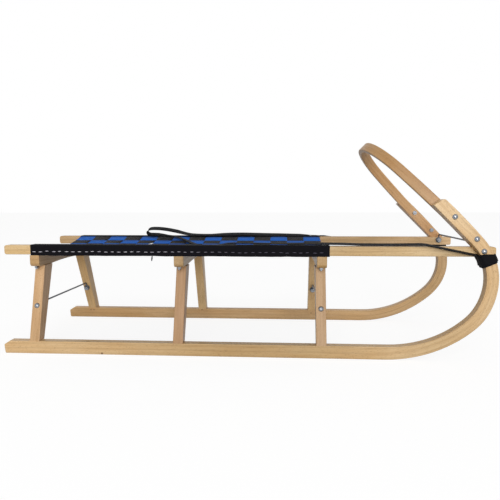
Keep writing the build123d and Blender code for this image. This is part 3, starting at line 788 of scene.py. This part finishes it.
def bowGrain(tree, x, y, z):
    b = bowBend
    lean = radians(b["lean"])
    offset = addNode(tree, "CombineXYZ", {0: x, 1: z}).outputs[0]
    foot = addNode(tree, "VectorMath", {0: offset, 1: (*b["foot"], 0)}, operation="SUBTRACT").outputs[0]
    bowUp, bowFront = (-cos(lean), sin(lean), 0), (sin(lean), cos(lean), 0)
    up = addNode(tree, "VectorMath", {0: foot, 1: bowUp}, operation="DOT_PRODUCT").outputs["Value"]
    strip = addNode(tree, "VectorMath", {0: foot, 1: bowFront}, operation="DOT_PRODUCT").outputs["Value"]
    sideways = addNode(tree, "Math", {0: y}, operation="ABSOLUTE").outputs[0]
    inward = addNode(tree, "Math", {0: b["outY"], 1: sideways}, operation="SUBTRACT").outputs[0]
    firstTurn = radians(b["firstTurn"])
    sideMiddleY = b["outY"] - b["firstRadius"] * (1 - cos(firstTurn)) - b["sideRadius"] * cos(firstTurn)
    sideTurnCos = sideMiddleY / (b["topRadius"] - b["sideRadius"])
    sideTurn = pi / 2 - atan2(sideTurnCos, (1 - sideTurnCos**2) ** 0.5)
    topMiddle = b["reach"] - b["topRadius"]
    sideMiddle = topMiddle - (b["sideRadius"] - b["topRadius"]) * sin(sideTurn)
    straight = sideMiddle + (b["sideRadius"] - b["firstRadius"]) * sin(firstTurn)
    firstRun = straight + firstTurn * (b["firstRadius"] - b["middle"])
    topRun = firstRun + (sideTurn - firstTurn) * (b["sideRadius"] - b["middle"])
    arcs = (
        (straight, b["firstRadius"], b["firstRadius"], 0.0, straight),
        (sideMiddle, b["outY"] - sideMiddleY, b["sideRadius"], firstTurn, firstRun),
        (topMiddle, b["outY"], b["topRadius"], sideTurn, topRun),
    )
    along, depth = bentGrain(tree, up, inward, arcs, b["middle"])
    return along, depth, strip


def railGrain(tree, x, y, z):
    return x, z, y


def yokeGrain(tree, x, y, z):
    return y, z, x


def legGrain(tree, x, y, z):
    # along the splayed leg, and square to its outer face
    splay = radians(trestle["splay"])
    sideways = addNode(tree, "Math", {0: y}, operation="ABSOLUTE").outputs[0]
    frontView = addNode(tree, "CombineXYZ", {0: sideways, 1: z}).outputs[0]
    legUp, legOut = (-sin(splay), cos(splay), 0), (cos(splay), sin(splay), 0)
    along = addNode(tree, "VectorMath", {0: frontView, 1: legUp}, operation="DOT_PRODUCT")
    depth = addNode(tree, "VectorMath", {0: frontView, 1: legOut}, operation="DOT_PRODUCT")
    return along.outputs["Value"], depth.outputs["Value"], x


beech = {
    "patch": (0.16, 0.030),  # broad tone: length and width in metres
    "streak": (0.11, 0.0042),
    "pore": (0.024, 0.0011),  # real vessels are 0.1 mm wide, drawn coarse enough to show
    "fleck": (0.0042, 0.0012),  # the short dark rays of beech
    "ring": 0.011,  # growth lines this far apart
    "ringWander": 3.0,  # radians that the broad tone shifts a growth line
    "noises": (("patch", 2.0, 0.0), ("streak", 3.0, 0.4), ("pore", 2.0, 0.0), ("fleck", 1.0, 0.0)),
    # how each mark takes over the tone: from and to which value, and how much at most
    "patchBlend": (0.34, 0.66, 1.0),
    "streakBlend": (0.46, 0.74, 0.6),
    "ringBlend": (0.2, 1.0, 0.16),
    "poreBlend": (0.5, 0.75, 0.2),
    "fleckBlend": (0.62, 0.7, 0.4),
    "ringHex": "#8A6238",
    "poreHex": "#9A7346",
    "fleckHex": "#8F6236",
    # warm tan multiplied into the wood as painted shade
    "paintedShadeHex": "#CEC8B5",
    "spotCore": 0.35,  # share of a spot's reach that is fully dark
    "spotDepth": 0.9,
    "roughness": (0.38, 0.52),
    "specular": 0.35,
    "coat": 0.12,
    "coatRoughness": 0.3,
    "bump": 0.18,
    "bumpHeight": 0.0004,
}


def paintedShadeAlong(tree, distance, stops):
    # each stop: a distance in metres, and how much of the painted shade colour the wood takes there
    low, high = stops[0][0], stops[-1][0]
    share = addNode(tree, "MapRange", {"Value": distance, "From Min": low, "From Max": high})
    ramp = addNode(tree, "ValToRGB", {0: share.outputs[0]})
    elements = ramp.color_ramp.elements
    elements[0].color = (stops[0][1],) * 3 + (1,)
    elements[1].color = (stops[-1][1],) * 3 + (1,)
    for place, paintedShade in stops[1:-1]:
        element = elements.new((place - low) / (high - low))
        element.color = (paintedShade,) * 3 + (1,)
    return ramp.outputs[0]


def beechMaterial(name, grainOf, paleHex, midHex, warmHex, seed, stops=(), spots=()):
    # clear-lacquered beech, planed: pale, faintly streaked along the grain, with short dark flecks
    material, tree, surface = newMaterial(name)
    place = addNode(tree, "TexCoord")
    split = addNode(tree, "SeparateXYZ", {0: place.outputs["Object"]})
    along, depth, width = grainOf(tree, *split.outputs[:3])
    grain = addNode(tree, "CombineXYZ", {0: along, 1: depth, 2: width}).outputs[0]
    # each piece is cut from another part of the plank
    cutFrom = (seed * 1.37, seed * 0.53, seed * 0.29)
    grain = addNode(tree, "VectorMath", {0: grain, 1: cutFrom}, operation="ADD").outputs[0]
    marks = {}
    for mark, detail, distortion in beech["noises"]:
        markLength, markWidth = beech[mark]
        scale = (1 / markLength, 1 / markWidth, 1 / markWidth)
        scaled = addNode(tree, "VectorMath", {0: grain, 1: scale}, operation="MULTIPLY").outputs[0]
        pattern = {"Vector": scaled, "Scale": 1.0, "Detail": detail, "Distortion": distortion}
        marks[mark] = addNode(tree, "TexNoise", pattern).outputs[0]
    wander = {"Value": marks["patch"], "To Min": -beech["ringWander"], "To Max": beech["ringWander"]}
    bend = addNode(tree, "MapRange", wander)
    phase = addNode(tree, "Math", {0: depth, 1: 2 * pi / beech["ring"]}, operation="MULTIPLY")
    phase = addNode(tree, "Math", {0: phase.outputs[0], 1: bend.outputs[0]}, operation="ADD")
    marks["ring"] = addNode(tree, "Math", {0: phase.outputs[0]}, operation="SINE").outputs[0]

    colour = linear(paleHex)
    for mark, markHex in (
        ("patch", midHex),
        ("streak", warmHex),
        ("ring", beech["ringHex"]),
        ("pore", beech["poreHex"]),
        ("fleck", beech["fleckHex"]),
    ):
        start, end, most = beech[mark + "Blend"]
        blend = {"Value": marks[mark], "From Min": start, "From Max": end, "To Max": most}
        share = addNode(tree, "MapRange", blend).outputs[0]
        colour = addNode(tree, "Mix", {0: share, 6: colour, 7: linear(markHex)}, data_type="RGBA").outputs[2]
    if stops:
        # painted shade, with some of the wood's own tone: across the sled for the bow, along the grain for
        # the other pieces
        paintedShade = paintedShadeAlong(tree, split.outputs[1] if grainOf == bowGrain else along, stops)
        paintedShadeMix = {0: paintedShade, 6: colour, 7: linear(beech["paintedShadeHex"])}
        colour = addNode(tree, "Mix", paintedShadeMix, data_type="RGBA", blend_type="MULTIPLY").outputs[2]
    for spotPlace, spotReach, spotHex in spots:
        away = addNode(tree, "VectorMath", {0: place.outputs["Object"], 1: spotPlace}, operation="DISTANCE")
        fade = {
            "Value": away.outputs["Value"],
            "From Min": spotReach * beech["spotCore"],
            "From Max": spotReach,
            "To Min": beech["spotDepth"],
            "To Max": 0.0,
        }
        near = addNode(tree, "MapRange", fade, interpolation_type="SMOOTHSTEP").outputs[0]
        colour = addNode(tree, "Mix", {0: near, 6: colour, 7: linear(spotHex)}, data_type="RGBA").outputs[2]
    tree.links.new(colour, surface.inputs["Base Color"])
    low, high = beech["roughness"]
    lacquer = {"Value": marks["streak"], "From Min": 0.3, "From Max": 0.7, "To Min": low, "To Max": high}
    tree.links.new(addNode(tree, "MapRange", lacquer).outputs[0], surface.inputs["Roughness"])
    height = addNode(tree, "Math", {0: marks["pore"], 1: marks["streak"]}, operation="ADD")
    relief = {"Height": height.outputs[0], "Strength": beech["bump"], "Distance": beech["bumpHeight"]}
    tree.links.new(addNode(tree, "Bump", relief).outputs[0], surface.inputs["Normal"])
    surface.inputs["Coat Weight"].default_value = beech["coat"]
    surface.inputs["Coat Roughness"].default_value = beech["coatRoughness"]
    surface.inputs["Specular IOR Level"].default_value = beech["specular"]
    return material


# Each row: node, grain, pale, mid and warm tone. Besides the wood's own tone these carry painted light and
# shade: the left-hand (far) rail and legs are paler to make up for the shade they stand in, and the yokes
# and the middle and front right legs are darker as painted shade
woodTonesAndPaintedLight = (
    ("runner_right", runnerGrain, "#F0D0A2", "#E8C18D", "#D6AC76"),
    ("runner_left", runnerGrain, "#E4BE8C", "#D8AC74", "#C29660"),
    ("rail_right", railGrain, "#EFD0A0", "#E5C189", "#D2AC74"),
    ("rail_left", railGrain, "#F4D2A8", "#EBC491", "#D8AE7C"),
    ("yoke_rear", yokeGrain, "#D0AA78", "#C29B68", "#AE8656"),
    ("yoke_middle", yokeGrain, "#C0A074", "#B09062", "#9C7C50"),
    ("yoke_front", yokeGrain, "#C4A06C", "#B5915B", "#A07C4A"),
    ("leg_rear_right", legGrain, "#E8C296", "#DCB284", "#C89C6C"),
    ("leg_middle_right", legGrain, "#B9916A", "#AB8255", "#966E44"),
    ("leg_front_right", legGrain, "#C29E74", "#B38E63", "#9E784E"),
    ("leg_rear_left", legGrain, "#EAC48E", "#DEB47A", "#CA9E66"),
    ("leg_middle_left", legGrain, "#F0CC98", "#E6BE86", "#D2A870"),
    ("leg_front_left", legGrain, "#F0CC98", "#E6BE86", "#D2A870"),
    ("bow", bowGrain, "#E2B684", "#D7A570", "#C4925C"),
)
# Painted shade, with some of the wood's own tone, where a piece darkens: distance along it, or across the
# sled for the bow, and how much
paintedShadeStops = {
    "runner_right": (
        (-0.54, 0.1),
        (-0.3, 0.4),
        (-0.03, 0.95),
        (0.15, 0.85),
        (0.33, 0.4),
        (0.47, 0.6),
        (0.6, 0.25),
        (0.74, 0.0),
    ),
    "runner_left": ((-0.5, 0.0), (0.6, 0.15), (0.75, 0.5)),
    "rail_right": ((-0.52, 0.0), (0.2, 0.75), (0.33, 0.55), (0.4, 0.3), (0.55, 0.3)),
    "rail_left": ((-0.54, 0.6), (0.22, 1.0), (0.34, 1.0), (0.42, 0.2), (0.55, 0.0)),
    "leg_rear_right": ((-0.02, 0.45), (0.12, 0.0)),
    "bow": ((-0.15, 0.85), (0.0, 0.75), (0.1, 0.0)),
}
# Nail marks inside the left runner and a knot low on the right one: place, reach and colour
woodSpots = {
    "runner_left": (
        ((-0.4786, 0.164, 0.0214), 0.0022, "#4A3220"),
        ((-0.4694, 0.164, 0.0215), 0.0022, "#4A3220"),
        ((-0.1448, 0.164, 0.0262), 0.0022, "#4A3220"),
        ((0.1737, 0.164, 0.0197), 0.0022, "#4A3220"),
    ),
    "runner_right": (((-0.3158, -0.185, 0.0027), 0.0036, "#6A4526"),),
}
for seed, (node, grainOf, *tones) in enumerate(woodTonesAndPaintedLight, start=1):
    stops, spots = paintedShadeStops.get(node, ()), woodSpots.get(node, ())
    wood = beechMaterial("lacqueredBeech_" + node, grainOf, *tones, seed, stops, spots)
    for slot in nodes[node].material_slots:
        slot.material = wood
print("beech")

# Metal: the patterns' scales are one over their reach in metres
zinc = {
    # painted reflection: both tones are far darker than bright zinc, standing in for the dark surroundings
    # the bolt heads reflect
    "tones": ("#5E6167", "#ABAEB3"),
    "scales": (420, 420, 420),  # mottled by the plating, in patches of 2.4 mm
    "detail": 3.0,
    "roughness": (0.1, 0.24),
    "nodes": ("horn_bolts", "rail_end_bolts", "leg_bolts", "rail_bolts"),
}
wire = {
    "tones": ("#3E4046", "#74777D"),
    "scales": (900, 30, 900),  # drawing lines along the wire, 1.1 mm apart and drawn coarse enough to show
    "detail": 2.0,
    "roughness": (0.3, 0.5),
    "nodes": ("tie_rod_rear", "tie_rod_front", "tie_rod_nose"),
}


def dressMetal(name, values):
    # shiny where the pattern is dark and duller where it is pale, as a plated or drawn surface is
    material, tree, surface = newMaterial(name)
    place = addNode(tree, "TexCoord")
    scaled = addNode(tree, "Mapping", {0: place.outputs["Object"], 3: values["scales"]})
    pattern = {"Vector": scaled.outputs[0], "Scale": 1.0, "Detail": values["detail"]}
    mottle = addNode(tree, "TexNoise", pattern)
    darkHex, paleHex = values["tones"]
    tones = {0: mottle.outputs[0], 6: linear(darkHex), 7: linear(paleHex)}
    tree.links.new(addNode(tree, "Mix", tones, data_type="RGBA").outputs[2], surface.inputs["Base Color"])
    low, high = values["roughness"]
    rough = addNode(tree, "MapRange", {"Value": mottle.outputs[0], "To Min": low, "To Max": high})
    tree.links.new(rough.outputs[0], surface.inputs["Roughness"])
    surface.inputs["Metallic"].default_value = 1.0
    for node in values["nodes"]:
        for slot in nodes[node].material_slots:
            slot.material = material


dressMetal("zincPlatedSteel", zinc)  # bright bolt heads, faintly mottled
dressMetal("drawnSteelWire", wire)  # darker and dull
print("metal")
